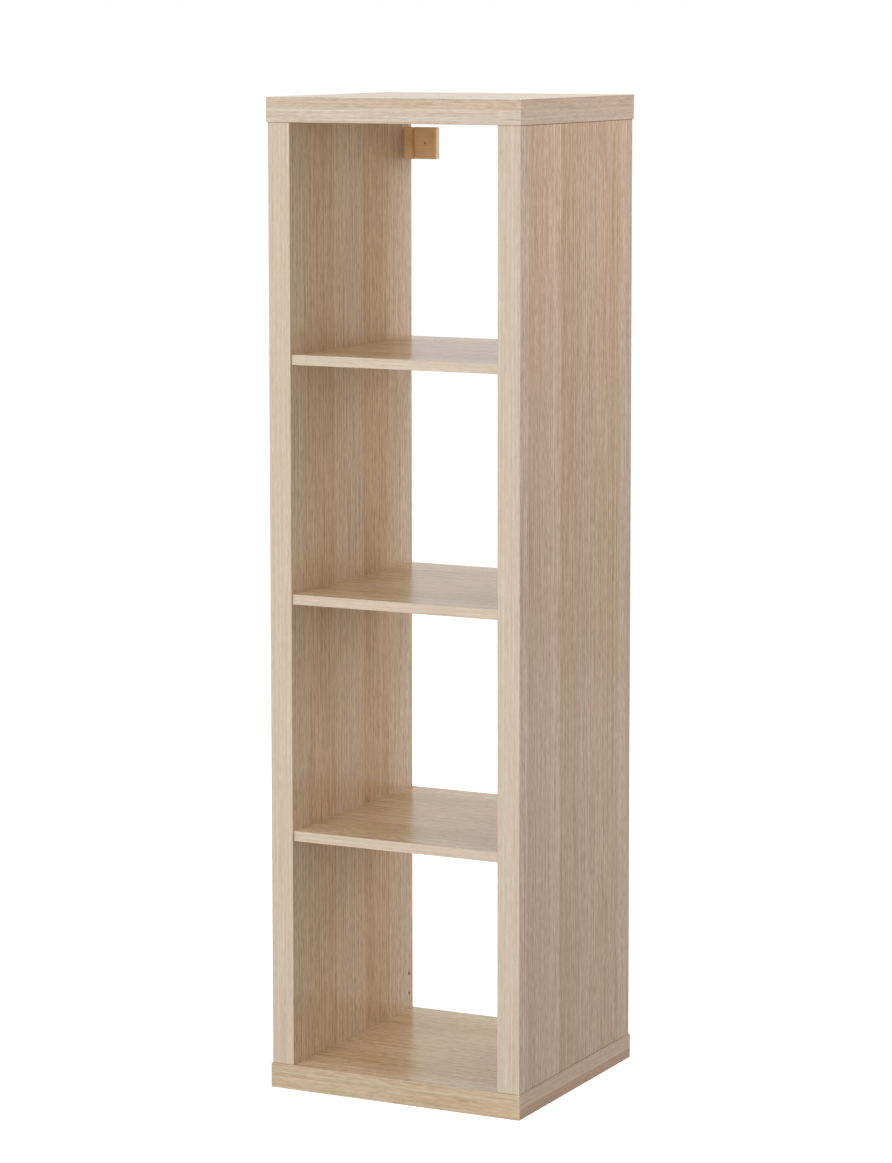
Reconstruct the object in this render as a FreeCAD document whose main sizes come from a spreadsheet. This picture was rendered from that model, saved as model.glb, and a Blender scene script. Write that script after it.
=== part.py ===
import FreeCAD, Part
import math
import os
import re
import Sketcher

# A tall open shelving unit of four stacked cube compartments.
# The slabs and the side panels are hollow-core boards: two thin skins over a frame of
# rails, with a honeycomb of folded paper strips between them and bands on the edges.
# The shelves are solid boards. Dowels and screws hold it all together.
# Frame: the origin is on the floor under the middle of the unit, X runs to the right,
# the open front faces -Y and Z points up. All lengths are in millimetres.

# The driving sizes: name, value and meaning.
SIZES = [
    ("unit_width", 410.0, "width over the slabs"),
    ("unit_depth", 390.0, "depth over the slabs"),
    ("unit_height", 1470.0, "height over all"),
    ("slab_thickness", 36.5, "top and bottom slab"),
    ("side_overhang", 1.5, "how far a slab stands out past a side panel's outer face"),
    ("front_overhang", 2.0, "how far a slab stands out past the panels' front edges"),
    ("rear_overhang", 2.0, "how far a slab stands out past the panels' rear edges"),
    ("side_thickness", 35.5, "side panel"),
    ("skin_thickness", 3.0, "fibreboard skin of a hollow-core board"),
    ("band_thickness", 0.8, "edge band"),
    ("band_chamfer", 0.4, "eased outer edge of a band"),
    ("end_rail_width", 60.0, "slab rail above or below a side panel"),
    ("cross_rail_width", 32.0, "slab rail along the front or rear edge"),
    ("stile_width", 60.0, "upright in a side panel"),
    ("end_block_height", 70.0, "block between the uprights at a panel's end"),
    ("cell_side", 60.0, "side of a honeycomb cell, before it is fitted to its board"),
    ("strip_thickness", 1.2, "folded paper strip of the honeycomb"),
    ("shelf_thickness", 15.0, "fixed shelf"),
    ("shelf_setback", 4.0, "shelf's front edge behind the panels' front edges"),
    ("fit_clearance", 0.15, "radial room of a dowel, pin or screw in its hole"),
    ("end_clearance", 1.0, "room past the end of a dowel, pin or screw"),
    ("dowel_diameter", 8.0, "wooden dowel, over its ridges"),
    ("dowel_length", 35.0, "wooden dowel"),
    ("flute_depth", 0.5, "glue flutes of a dowel or pin"),
    ("shelf_dowel_depth", 12.0, "how deep a shelf dowel sits in a side panel"),
    ("slab_dowel_depth", 15.0, "how deep a corner dowel sits in a slab"),
    ("corner_dowel_spacing", 128.0, "between the two dowels on a panel's end"),
    ("screw_diameter", 6.4, "shank of a corner screw"),
    ("screw_length", 70.0, "corner screw over its head"),
    ("screw_head_diameter", 11.0, "corner screw"),
    ("socket_flats", 4.0, "hexagon socket across its flats"),
    ("socket_depth", 2.8, "hexagon socket"),
    ("bracket_thickness", 12.5, "both legs of a wall bracket"),
    ("bracket_reach", 48.0, "leg against the wall"),
    ("bracket_depth", 25.0, "leg against the side panel"),
    ("bracket_height", 48.5, "wall bracket"),
    ("bracket_drop", 16.5, "room between the top slab and a bracket"),
    ("bracket_fillet", 2.0, "inner corner of the L"),
    ("bracket_chamfer", 0.6, "eased edges of a bracket"),
    ("wall_hole_diameter", 4.0, "hole for the wall screw"),
    ("pin_diameter", 5.0, "pin of a wall bracket, over its ridges"),
    ("pin_length", 20.0, "pin of a wall bracket"),
    ("pin_spacing", 32.0, "between the two pins of a bracket"),
    ("pin_panel_depth", 12.0, "how deep a pin sits in a side panel"),
]
SHELF_COUNT = 3
PAIR_COUNT = 2
RIDGE_COUNT = 8
SOCKET_SIDES = 6
LEFT = -1
RIGHT = 1

# Holes that stay hidden are drawn with eight flats. Holes that show are round.
HIDDEN_HOLE_SIDES = 8

# Two points closer than this are one point.
TOUCH = 1e-6

# Shares of one fold of a honeycomb strip: flat, slope, flat, slope, as in a regular hexagon.
FOLD_SHARES = (0, 1 / 3, 1 / 2, 5 / 6)
FOLD_PERIOD_SIDES = 3
CELL_RISE_SHARE = math.sqrt(3) / 2

# Derived lengths and places, as formulas of the driving sizes.
PANEL_FRONT = "(front_overhang - unit_depth / 2)"
PANEL_REAR = "(unit_depth / 2 - rear_overhang)"
PANEL_DEPTH = "(unit_depth - front_overhang - rear_overhang)"
PANEL_HEIGHT = "(unit_height - 2 * slab_thickness)"
PANEL_TOP = "(unit_height - slab_thickness)"
PANEL_MIDDLE = f"(({PANEL_FRONT} + {PANEL_REAR}) / 2)"
OUTER_FACE = "(unit_width / 2 - side_overhang)"
INNER_FACE = "(unit_width / 2 - side_overhang - side_thickness)"
JOINT_LINE = "(unit_width / 2 - side_overhang - side_thickness / 2)"
FRONT_STILE_LINE = f"({PANEL_FRONT} + band_thickness + stile_width / 2)"
REAR_STILE_LINE = f"({PANEL_REAR} - band_thickness - stile_width / 2)"
FRONT_DOWEL_LINE = f"({PANEL_MIDDLE} - corner_dowel_spacing / 2)"
REAR_DOWEL_LINE = f"({PANEL_MIDDLE} + corner_dowel_spacing / 2)"
SLAB_INSIDE = "(slab_thickness - 2 * skin_thickness)"
PANEL_INSIDE = "(side_thickness - 2 * skin_thickness)"
BOARD_WIDTH = "(unit_width - 2 * band_thickness)"
BOARD_DEPTH = "(unit_depth - 2 * band_thickness)"
COMPARTMENT = f"(({PANEL_HEIGHT} - {SHELF_COUNT} * shelf_thickness) / {SHELF_COUNT + 1})"
SHELF_FRONT = f"({PANEL_FRONT} + shelf_setback)"
SHELF_WIDTH = f"(2 * {INNER_FACE})"
PIN_LINE = f"({PANEL_REAR} - bracket_depth / 2)"
PIN_LOW_DROP = "(bracket_drop + (bracket_height + pin_spacing) / 2)"
PIN_HIGH_DROP = "(bracket_drop + (bracket_height - pin_spacing) / 2)"
DOWEL_HOLE = "(dowel_diameter + 2 * fit_clearance)"
SCREW_HOLE = "(screw_diameter + 2 * fit_clearance)"
HEAD_HOLE = "(screw_head_diameter + 2 * fit_clearance)"
PIN_HOLE = "(pin_diameter + 2 * fit_clearance)"

doc = FreeCAD.newDocument("shelving_unit")
sheet = doc.addObject("Spreadsheet::Sheet", "Sizes")
for row, (alias, number, meaning) in enumerate(SIZES, start=1):
    sheet.set(f"A{row}", meaning)
    sheet.set(f"B{row}", str(number))
    sheet.setAlias(f"B{row}", alias)
doc.recompute()


def bound(formula):
    """A formula of size names, written on the sheet's cells."""
    return re.sub(r"[a-z][a-z_]+", lambda found: f"{sheet.Name}.{found.group(0)}", formula)


def value(formula):
    """The present value of a formula of size names."""
    return float(sheet.evalExpression(formula))


def opposite(formula, side):
    """A place on the left or the right of the middle plane."""
    return f"(-{formula})" if side == LEFT else formula


def shelf_base(number):
    """The height of a shelf's lower face, counted from the lowest shelf."""
    return f"(slab_thickness + {number} * {COMPARTMENT} + {number - 1} * shelf_thickness)"


class Body:
    """A solid body whose low corner stands at a place of the unit, in its own axes."""

    PLANES = {"x": "YZ_Plane", "y": "XZ_Plane", "z": "XY_Plane"}
    ACROSS = {"x": "yz", "y": "xz", "z": "xy"}

    def __init__(self, label, corner):
        self.label = label
        self.corner = dict(zip("xyz", corner))
        self.body = doc.addObject("PartDesign::Body", label)
        self.body.Label = label
        for axis, place in self.corner.items():
            self.body.setExpression(f"Placement.Base.{axis}", bound(place))

    def origin(self, role):
        """One of the body's own origin planes or axes."""
        return next(item for item in self.body.Origin.OriginFeatures if item.Role == role)

    def local(self, axis, place):
        """A place of the unit, measured from the body's low corner."""
        return f"({place} - {self.corner[axis]})"

    def sketch(self, name, axis, level="0"):
        """An empty sketch square to an axis, at a level above the low corner.

        The sketch faces along the axis, apart from y, where it faces the other way.
        """
        sketch = self.body.newObject("Sketcher::SketchObject", name)
        sketch.AttachmentSupport = [(self.origin(self.PLANES[axis]), "")]
        sketch.MapMode = "FlatFace"
        offset = f"-({level})" if axis == "y" else level
        sketch.setExpression("AttachmentOffset.Base.z", bound(offset))
        return sketch

    def pad(self, name, sketch, length, reversed_way=False):
        """Material from a sketch's closed outlines."""
        feature = self.body.newObject("PartDesign::Pad", name)
        feature.Profile = sketch
        feature.Reversed = reversed_way
        feature.setExpression("Length", bound(length))
        return feature

    def pocket(self, name, sketch, depth, forward):
        """A cut along the sketch's normal (forward) or against it."""
        feature = self.body.newObject("PartDesign::Pocket", name)
        feature.Profile = sketch
        feature.Reversed = forward
        feature.setExpression("Length", bound(depth))
        return feature

    def drill(self, name, axis, level, forward, diameter, depth, centres, shows=False):
        """Holes along an axis. Level and centres are places of the unit."""
        sketch = self.sketch(f"{name}_outlines", axis, self.local(axis, level))
        first, second = self.ACROSS[axis]
        for across, up in centres:
            centre = (self.local(first, across), self.local(second, up))
            if shows:
                add_circle(sketch, *centre, diameter)
            else:
                add_outline(sketch, flats_around(*centre, diameter, HIDDEN_HOLE_SIDES))
        return self.pocket(name, sketch, depth, forward)

    def repeat(self, features, steps):
        """Copies of features along the body's axes: (axis, count, spacing)."""
        self.body.AllowCompound = True
        copies = self.body.newObject("PartDesign::MultiTransform", "copies")
        copies.Originals = features
        patterns = []
        for axis, count, spacing in steps:
            pattern = self.body.newObject("PartDesign::LinearPattern", f"copies_along_{axis}")
            pattern.Direction = (self.origin(f"{axis.upper()}_Axis"), [""])
            pattern.Occurrences = count
            pattern.setExpression("Length", bound(f"{count - 1} * {spacing}"))
            patterns.append(pattern)
        copies.Transformations = patterns
        self.body.Tip = copies


def add_outline(sketch, points):
    """A closed outline whose points are bound to formulas, measured from the sketch's origin."""
    places = [FreeCAD.Vector(value(across), value(up), 0) for across, up in points]
    lines = []
    for start, end in zip(places, places[1:] + places[:1]):
        lines.append(sketch.addGeometry(Part.LineSegment(start, end), False))
    for line, following in zip(lines, lines[1:] + lines[:1]):
        sketch.addConstraint(Sketcher.Constraint("Coincident", line, 2, following, 1))
    for line, (across, up) in zip(lines, points):
        bind_point(sketch, line, 1, across, up)


def add_circle(sketch, across, up, diameter):
    """A circle whose centre and diameter are bound to formulas."""
    centre = FreeCAD.Vector(value(across), value(up), 0)
    circle = sketch.addGeometry(Part.Circle(centre, FreeCAD.Vector(0, 0, 1), value(diameter) / 2), False)
    bind_point(sketch, circle, 3, across, up)
    size = sketch.addConstraint(Sketcher.Constraint("Diameter", circle, value(diameter)))
    sketch.setExpression(f"Constraints[{size}]", bound(diameter))


def spoke_shares(count, turn_share=0.25):
    """Directions spread evenly round a circle, as shares of its radius."""
    angles = [2 * math.pi * (number + turn_share) / count for number in range(count)]
    return [(math.cos(angle), math.sin(angle)) for angle in angles]


def around(across, up, radius, shares):
    """A point at a radius from a centre, along a spoke."""
    return (f"({across} + {radius} * {shares[0]:.9f})", f"({up} + {radius} * {shares[1]:.9f})")


def flats_around(across, up, width, count):
    """The corners of a regular outline that is a width across its flats."""
    corner_radius = f"({width} / 2 * {1 / math.cos(math.pi / count):.9f})"
    return [around(across, up, corner_radius, shares) for shares in spoke_shares(count)]


def bind_point(sketch, geometry, point, across, up):
    """Tie a point to its distances from the sketch's origin, or to an axis it lies on."""
    for kind, axis_line, formula in (("DistanceX", -2, across), ("DistanceY", -1, up)):
        if formula == "0":
            sketch.addConstraint(Sketcher.Constraint("PointOnObject", geometry, point, axis_line))
        else:
            rule = Sketcher.Constraint(kind, -1, 1, geometry, point, value(formula))
            index = sketch.addConstraint(rule)
            sketch.setExpression(f"Constraints[{index}]", bound(formula))


def board(label, axis, corner, size):
    """A flat board, thin along one axis. Corner and size are given along x, y and z."""
    item = Body(label, corner)
    extent = dict(zip("xyz", size))
    first, second = item.ACROSS[axis]
    sketch = item.sketch("outline", axis)
    wide, tall = extent[first], extent[second]
    add_outline(sketch, [("0", "0"), (wide, "0"), (wide, tall), ("0", tall)])
    item.pad("board", sketch, extent[axis])
    return item


def edge_band(label, run, out, corner, length, height, outward):
    """A thin strip along an edge. Its two outer edges are eased."""
    item = Body(label, corner)
    first, second = item.ACROSS[run]
    thin, ease = "band_thickness", "band_chamfer"
    if outward:
        across = [("0", "0"), (f"{thin} - {ease}", "0"), (thin, ease),
                  (thin, f"{height} - {ease}"), (f"{thin} - {ease}", height), ("0", height)]
    else:
        across = [(ease, "0"), (thin, "0"), (thin, height),
                  (ease, height), ("0", f"{height} - {ease}"), ("0", ease)]
    if out == second:
        across = [(along, thick) for thick, along in across]
    sketch = item.sketch("profile", run)
    add_outline(sketch, across)
    item.pad("band", sketch, length, reversed_way=(run == "y"))
    return item


def strip_points(length, low, high, folds, rises_first):
    """The outline of one folded paper strip that zigzags between two levels."""
    thickness = value("strip_thickness")
    period = length / folds
    bottom, top = low + thickness / 2, high - thickness / 2
    slope = math.atan2(top - bottom, (FOLD_SHARES[2] - FOLD_SHARES[1]) * period)
    shift = thickness / 2 * math.tan(slope / 2)
    first, second = (bottom, top) if rises_first else (top, bottom)
    lean = shift if rises_first else -shift
    upper = [(0, first + thickness / 2)]
    lower = [(0, first - thickness / 2)]
    for fold in range(folds):
        turns = ((FOLD_SHARES[1], first, lean), (FOLD_SHARES[2], second, lean),
                 (FOLD_SHARES[3], second, -lean), (1, first, -lean))
        for share, level, offset in turns:
            at_end = fold == folds - 1 and share == 1
            offset = 0 if at_end else offset
            place = (fold + share) * period
            upper.append((place - offset, level + thickness / 2))
            lower.append((place + offset, level - thickness / 2))
    return upper + lower[::-1]


def honeycomb(label, corner, run, stack, size):
    """A honeycomb of paper strips, glued crest to crest, that fills a board between its rails."""
    extent = {axis: value(length) for axis, length in zip("xyz", size)}
    rise = next(axis for axis in "xyz" if axis not in (run, stack))
    count = max(1, round(extent[stack] / (value("cell_side") * CELL_RISE_SHARE)))
    folds = max(1, round(extent[run] / (FOLD_PERIOD_SIDES * value("cell_side"))))
    pitch = extent[stack] / count
    height = FreeCAD.Vector(*(extent[rise] if axis == rise else 0 for axis in "xyz"))
    strips = []
    for index in range(count):
        low, high = index * pitch, (index + 1) * pitch
        points = []
        for along, across in strip_points(extent[run], low, high, folds, index % 2 == 0):
            place = {run: along, stack: across, rise: 0}
            points.append(FreeCAD.Vector(place["x"], place["y"], place["z"]))
        face = Part.Face(Part.makePolygon(points + points[:1]))
        strips.append(face.extrude(height))
    core = doc.addObject("Part::Feature", label)
    core.Label = label
    core.Shape = Part.makeCompound(strips)
    core.Placement = FreeCAD.Placement(FreeCAD.Vector(*map(value, corner)), FreeCAD.Rotation())
    return core


def slab(name, base, joint_side):
    """The top or the bottom slab. Its joint side is the face that meets the side panels."""
    left, front = "(band_thickness - unit_width / 2)", "(band_thickness - unit_depth / 2)"
    inside, lid = f"({base} + skin_thickness)", f"({base} + slab_thickness - skin_thickness)"
    skin = (BOARD_WIDTH, BOARD_DEPTH, "skin_thickness")
    upper = board(f"{name}_upper_skin", "z", (left, front, lid), skin)
    lower = board(f"{name}_lower_skin", "z", (left, front, base), skin)
    rail = ("end_rail_width", BOARD_DEPTH, SLAB_INSIDE)
    right_rail = f"({BOARD_WIDTH} + {left} - end_rail_width)"
    rails = {
        LEFT: board(f"{name}_left_rail", "z", (left, front, inside), rail),
        RIGHT: board(f"{name}_right_rail", "z", (right_rail, front, inside), rail),
    }
    between = f"({left} + end_rail_width)"
    clear_width = f"({BOARD_WIDTH} - 2 * end_rail_width)"
    cross = (clear_width, "cross_rail_width", SLAB_INSIDE)
    rear = f"({BOARD_DEPTH} + {front} - cross_rail_width)"
    board(f"{name}_front_rail", "z", (between, front, inside), cross)
    board(f"{name}_rear_rail", "z", (between, rear, inside), cross)
    behind = f"({front} + cross_rail_width)"
    clear_depth = f"({BOARD_DEPTH} - 2 * cross_rail_width)"
    honeycomb(f"{name}_core", (between, behind, inside), "x", "y",
              (clear_width, clear_depth, SLAB_INSIDE))
    slab_edges(name, base)
    slab_holes(upper, lower, rails, base, joint_side)


def slab_edges(name, base):
    """The four edge bands of a slab."""
    left, front = "(-unit_width / 2)", "(-unit_depth / 2)"
    right, rear = "(unit_width / 2 - band_thickness)", "(unit_depth / 2 - band_thickness)"
    inner = f"({front} + band_thickness)"
    edge_band(f"{name}_front_band", "x", "y", (left, front, base), "unit_width", "slab_thickness", False)
    edge_band(f"{name}_rear_band", "x", "y", (left, rear, base), "unit_width", "slab_thickness", True)
    edge_band(f"{name}_left_band", "y", "x", (left, inner, base), BOARD_DEPTH, "slab_thickness", False)
    edge_band(f"{name}_right_band", "y", "x", (right, inner, base), BOARD_DEPTH, "slab_thickness", True)


def slab_holes(upper, lower, rails, base, joint_side):
    """Holes in a slab: the screws' heads sit in the far skin, and the dowels end in the rails."""
    downward = joint_side == "lower"
    near, far = (lower, upper) if downward else (upper, lower)
    inside, lid = f"({base} + skin_thickness)", f"({base} + slab_thickness - skin_thickness)"
    near_face = inside if downward else lid
    screws, dowels = {}, {}
    for side in rails:
        line = opposite(JOINT_LINE, side)
        screws[side] = [(line, FRONT_STILE_LINE), (line, REAR_STILE_LINE)]
        dowels[side] = [(line, FRONT_DOWEL_LINE), (line, REAR_DOWEL_LINE)]
    all_screws = screws[LEFT] + screws[RIGHT]
    all_dowels = dowels[LEFT] + dowels[RIGHT]
    skin_base = {True: base, False: lid}
    far.drill("head_holes", "z", skin_base[not downward], True, HEAD_HOLE, "skin_thickness", all_screws,
              shows=True)
    near.drill("screw_holes", "z", skin_base[downward], True, SCREW_HOLE, "skin_thickness", all_screws)
    near.drill("dowel_holes", "z", skin_base[downward], True, DOWEL_HOLE, "skin_thickness", all_dowels)
    blind = "(slab_dowel_depth - skin_thickness + end_clearance)"
    for side, rail in rails.items():
        rail.drill("screw_holes", "z", inside, True, SCREW_HOLE, SLAB_INSIDE, screws[side])
        rail.drill("dowel_holes", "z", near_face, downward, DOWEL_HOLE, blind, dowels[side])


def side_panel(name, side):
    """A side panel, left or right. Both are the same panel, turned about an upright line."""
    bottom = "slab_thickness"
    front = f"({PANEL_FRONT} + band_thickness)"
    depth = f"({PANEL_DEPTH} - 2 * band_thickness)"
    frame = f"(-{OUTER_FACE} + skin_thickness)" if side == LEFT else f"({INNER_FACE} + skin_thickness)"
    outer = f"(-{OUTER_FACE})" if side == LEFT else f"({OUTER_FACE} - skin_thickness)"
    inner = f"(-{INNER_FACE} - skin_thickness)" if side == LEFT else INNER_FACE
    skin = ("skin_thickness", depth, PANEL_HEIGHT)
    board(f"{name}_outer_skin", "x", (outer, front, bottom), skin)
    inner_skin = board(f"{name}_inner_skin", "x", (inner, front, bottom), skin)
    stile = (PANEL_INSIDE, "stile_width", PANEL_HEIGHT)
    rear = f"({front} + {depth} - stile_width)"
    front_stile = board(f"{name}_front_stile", "x", (frame, front, bottom), stile)
    rear_stile = board(f"{name}_rear_stile", "x", (frame, rear, bottom), stile)
    between = f"({front} + stile_width)"
    clear_depth = f"({depth} - 2 * stile_width)"
    block = (PANEL_INSIDE, clear_depth, "end_block_height")
    high = f"({PANEL_TOP} - end_block_height)"
    lower_block = board(f"{name}_lower_block", "x", (frame, between, bottom), block)
    upper_block = board(f"{name}_upper_block", "x", (frame, between, high), block)
    above = f"({bottom} + end_block_height)"
    clear_height = f"({PANEL_HEIGHT} - 2 * end_block_height)"
    honeycomb(f"{name}_core", (frame, between, above), "z", "y",
              (PANEL_INSIDE, clear_depth, clear_height))
    outside = f"(-{OUTER_FACE})" if side == LEFT else INNER_FACE
    band_rear = f"({PANEL_REAR} - band_thickness)"
    edge_band(f"{name}_front_band", "z", "y", (outside, PANEL_FRONT, bottom), PANEL_HEIGHT,
              "side_thickness", False)
    edge_band(f"{name}_rear_band", "z", "y", (outside, band_rear, bottom), PANEL_HEIGHT,
              "side_thickness", True)
    end_holes(side, front_stile, rear_stile, lower_block, upper_block)
    face_holes(side, inner_skin, front_stile, rear_stile)


def end_holes(side, front_stile, rear_stile, lower_block, upper_block):
    """Holes in a panel's two ends: screws go into the stiles, dowels into the end blocks."""
    line = opposite(JOINT_LINE, side)
    screw_depth = "(screw_length - slab_thickness + end_clearance)"
    dowel_depth = "(dowel_length - slab_dowel_depth + end_clearance)"
    for name, level, forward, block in (("lower", "slab_thickness", True, lower_block),
                                        ("upper", PANEL_TOP, False, upper_block)):
        for stile, place in ((front_stile, FRONT_STILE_LINE), (rear_stile, REAR_STILE_LINE)):
            stile.drill(f"{name}_screw_hole", "z", level, forward, SCREW_HOLE, screw_depth, [(line, place)])
        places = [(line, FRONT_DOWEL_LINE), (line, REAR_DOWEL_LINE)]
        block.drill(f"{name}_dowel_holes", "z", level, forward, DOWEL_HOLE, dowel_depth, places)


def face_holes(side, inner_skin, front_stile, rear_stile):
    """Shelf dowel holes and bracket holes in a panel's inner face, the same at both ends."""
    heights = [f"({shelf_base(number)} + shelf_thickness / 2)" for number in range(1, SHELF_COUNT + 1)]
    drops = (PIN_HIGH_DROP, PIN_LOW_DROP)
    behind_bracket = [(PIN_LINE, f"({PANEL_TOP} - {drop})") for drop in drops]
    spare = [(PIN_LINE, f"(slab_thickness + {drop})") for drop in drops]
    skin_base = inner_skin.corner["x"]
    stile_face = skin_base if side == LEFT else f"({INNER_FACE} + skin_thickness)"
    into_stile = side == RIGHT
    dowel_depth = "(shelf_dowel_depth - skin_thickness + end_clearance)"
    pin_depth = "(pin_panel_depth - skin_thickness + end_clearance)"
    through = [(line, height) for line in (FRONT_STILE_LINE, REAR_STILE_LINE) for height in heights]
    inner_skin.drill("dowel_holes", "x", skin_base, True, DOWEL_HOLE, "skin_thickness", through)
    for stile, line in ((front_stile, FRONT_STILE_LINE), (rear_stile, REAR_STILE_LINE)):
        places = [(line, height) for height in heights]
        stile.drill("dowel_holes", "x", stile_face, into_stile, DOWEL_HOLE, dowel_depth, places)
    for name, places, shows in (("pin_holes", behind_bracket, False), ("spare_holes", spare, True)):
        inner_skin.drill(name, "x", skin_base, True, PIN_HOLE, "skin_thickness", places, shows)
        rear_stile.drill(name, "x", stile_face, into_stile, PIN_HOLE, pin_depth, places, shows)


def shelf(name, number):
    """A fixed shelf: a solid board with a band on its front and rear edges and dowel holes in its ends."""
    left, base = f"(-{INNER_FACE})", shelf_base(number)
    front = f"({SHELF_FRONT} + band_thickness)"
    depth = f"({PANEL_REAR} - {SHELF_FRONT} - 2 * band_thickness)"
    band_rear = f"({PANEL_REAR} - band_thickness)"
    plank = board(f"{name}_board", "z", (left, front, base), (SHELF_WIDTH, depth, "shelf_thickness"))
    edge_band(f"{name}_front_band", "x", "y", (left, SHELF_FRONT, base), SHELF_WIDTH,
              "shelf_thickness", False)
    edge_band(f"{name}_rear_band", "x", "y", (left, band_rear, base), SHELF_WIDTH,
              "shelf_thickness", True)
    middle = f"({base} + shelf_thickness / 2)"
    places = [(FRONT_STILE_LINE, middle), (REAR_STILE_LINE, middle)]
    depth_in = "(dowel_length - shelf_dowel_depth + end_clearance)"
    plank.drill("left_holes", "x", left, True, DOWEL_HOLE, depth_in, places)
    plank.drill("right_holes", "x", INNER_FACE, False, DOWEL_HOLE, depth_in, places)


def fluted_dowels(label, axis, start, diameter, length, steps):
    """Dowels with glue flutes along an axis, repeated in steps from the first one."""
    item = Body(label, start)
    ridge = f"({diameter} / 2)"
    groove = f"({diameter} / 2 - flute_depth)"
    shares = spoke_shares(2 * RIDGE_COUNT)
    points = [around("0", "0", ridge if number % 2 == 0 else groove, share)
              for number, share in enumerate(shares)]
    sketch = item.sketch("section", axis)
    add_outline(sketch, points)
    dowel = item.pad("dowel", sketch, length)
    item.repeat([dowel], steps)


def corner_screws(label, tip_level, upward):
    """Four socket screws through a slab into the ends of the side panels."""
    item = Body(label, (f"(-{JOINT_LINE})", FRONT_STILE_LINE, tip_level))
    radius, head = "screw_diameter / 2", "screw_head_diameter / 2"
    shank = "(screw_length - skin_thickness)"
    half = [("0", "0"), (radius, "0"), (radius, shank), (head, shank),
            (head, "screw_length"), ("0", "screw_length")]
    if upward:
        half = [(across, f"(-{up})" if up != "0" else up) for across, up in half]
    sketch = item.sketch("half_section", "y")
    add_outline(sketch, half)
    turned = item.body.newObject("PartDesign::Revolution", "screw")
    turned.Profile = sketch
    turned.ReferenceAxis = (sketch, ["V_Axis"])
    turned.Angle = 360
    outline = item.sketch("socket_outline", "z", "(-screw_length)" if upward else "screw_length")
    add_outline(outline, flats_around("0", "0", "socket_flats", SOCKET_SIDES))
    socket = item.pocket("socket", outline, "socket_depth", upward)
    line_spacing, depth_spacing = f"(2 * {JOINT_LINE})", f"({REAR_STILE_LINE} - {FRONT_STILE_LINE})"
    item.repeat([turned, socket], [("x", PAIR_COUNT, line_spacing), ("y", PAIR_COUNT, depth_spacing)])


def wall_bracket(label, side):
    """An L-shaped wall bracket: one leg on the side panel, one against the wall."""
    bottom = f"({PANEL_TOP} - bracket_drop - bracket_height)"
    face = opposite(INNER_FACE, side)
    front = f"({PANEL_REAR} - bracket_depth)"
    item = Body(label, (face, front, bottom))

    def inwards(formula):
        """A distance from the panel's face towards the middle of the unit."""
        return formula if side == LEFT else f"(-{formula})"

    points = [("0", "0"), (inwards("bracket_thickness"), "0"),
              (inwards("bracket_thickness"), "bracket_depth - bracket_thickness"),
              (inwards("bracket_reach"), "bracket_depth - bracket_thickness"),
              (inwards("bracket_reach"), "bracket_depth"), ("0", "bracket_depth")]
    sketch = item.sketch("l_outline", "z")
    add_outline(sketch, points)
    block = item.pad("l_block", sketch, "bracket_height")
    doc.recompute()
    fillet = item.body.newObject("PartDesign::Fillet", "inner_corner")
    fillet.Base = (block, upright_edges(block.Shape, points[2:3]))
    fillet.setExpression("Radius", bound("bracket_fillet"))
    doc.recompute()
    free_ends = upright_edges(fillet.Shape, points[0:2] + points[3:5])
    ease = item.body.newObject("PartDesign::Chamfer", "eased_edges")
    ease.Base = (fillet, free_ends + level_edges(fillet.Shape))
    ease.setExpression("Size", bound("bracket_chamfer"))
    doc.recompute()
    middle_level = f"({bottom} + bracket_height / 2)"
    hole_line = f"({face} + {inwards('((bracket_thickness + bracket_reach) / 2)')})"
    item.drill("wall_screw_hole", "y", PANEL_REAR, True, "wall_hole_diameter", "bracket_thickness",
               [(hole_line, middle_level)], shows=True)
    pin_levels = [f"({PANEL_TOP} - {drop})" for drop in (PIN_HIGH_DROP, PIN_LOW_DROP)]
    depth = "(pin_length - pin_panel_depth + end_clearance)"
    item.drill("pin_holes", "x", face, side == LEFT, PIN_HOLE, depth,
               [(PIN_LINE, level) for level in pin_levels])


def upright_edges(shape, corners):
    """The names of the upright edges that stand on corners of an outline."""
    names = []
    for number, edge in enumerate(shape.Edges, start=1):
        foot, top = edge.Vertexes[0].Point, edge.Vertexes[-1].Point
        upright = math.hypot(foot.x - top.x, foot.y - top.y) < TOUCH
        for across, along in corners:
            if upright and math.hypot(foot.x - value(across), foot.y - value(along)) < TOUCH:
                names.append(f"Edge{number}")
    return names


def level_edges(shape):
    """The names of the edges that lie level, round the top and the bottom."""
    return [f"Edge{number}" for number, edge in enumerate(shape.Edges, start=1)
            if edge.BoundBox.ZLength < TOUCH]


slab("bottom_slab", "0", "upper")
slab("top_slab", PANEL_TOP, "lower")
side_panel("left_panel", LEFT)
side_panel("right_panel", RIGHT)
for number, name in enumerate(("lower_shelf", "middle_shelf", "upper_shelf"), start=1):
    shelf(name, number)

corner_screws("bottom_screws", "screw_length", True)
corner_screws("top_screws", "(unit_height - screw_length)", False)
corner_steps = [("x", PAIR_COUNT, f"(2 * {JOINT_LINE})"), ("y", PAIR_COUNT, "corner_dowel_spacing")]
for label, dowel_base in (("bottom_dowels", "(slab_thickness - slab_dowel_depth)"),
                          ("top_dowels", f"({PANEL_TOP} + slab_dowel_depth - dowel_length)")):
    fluted_dowels(label, "z", (f"(-{JOINT_LINE})", FRONT_DOWEL_LINE, dowel_base),
                  "dowel_diameter", "dowel_length", corner_steps)

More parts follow.
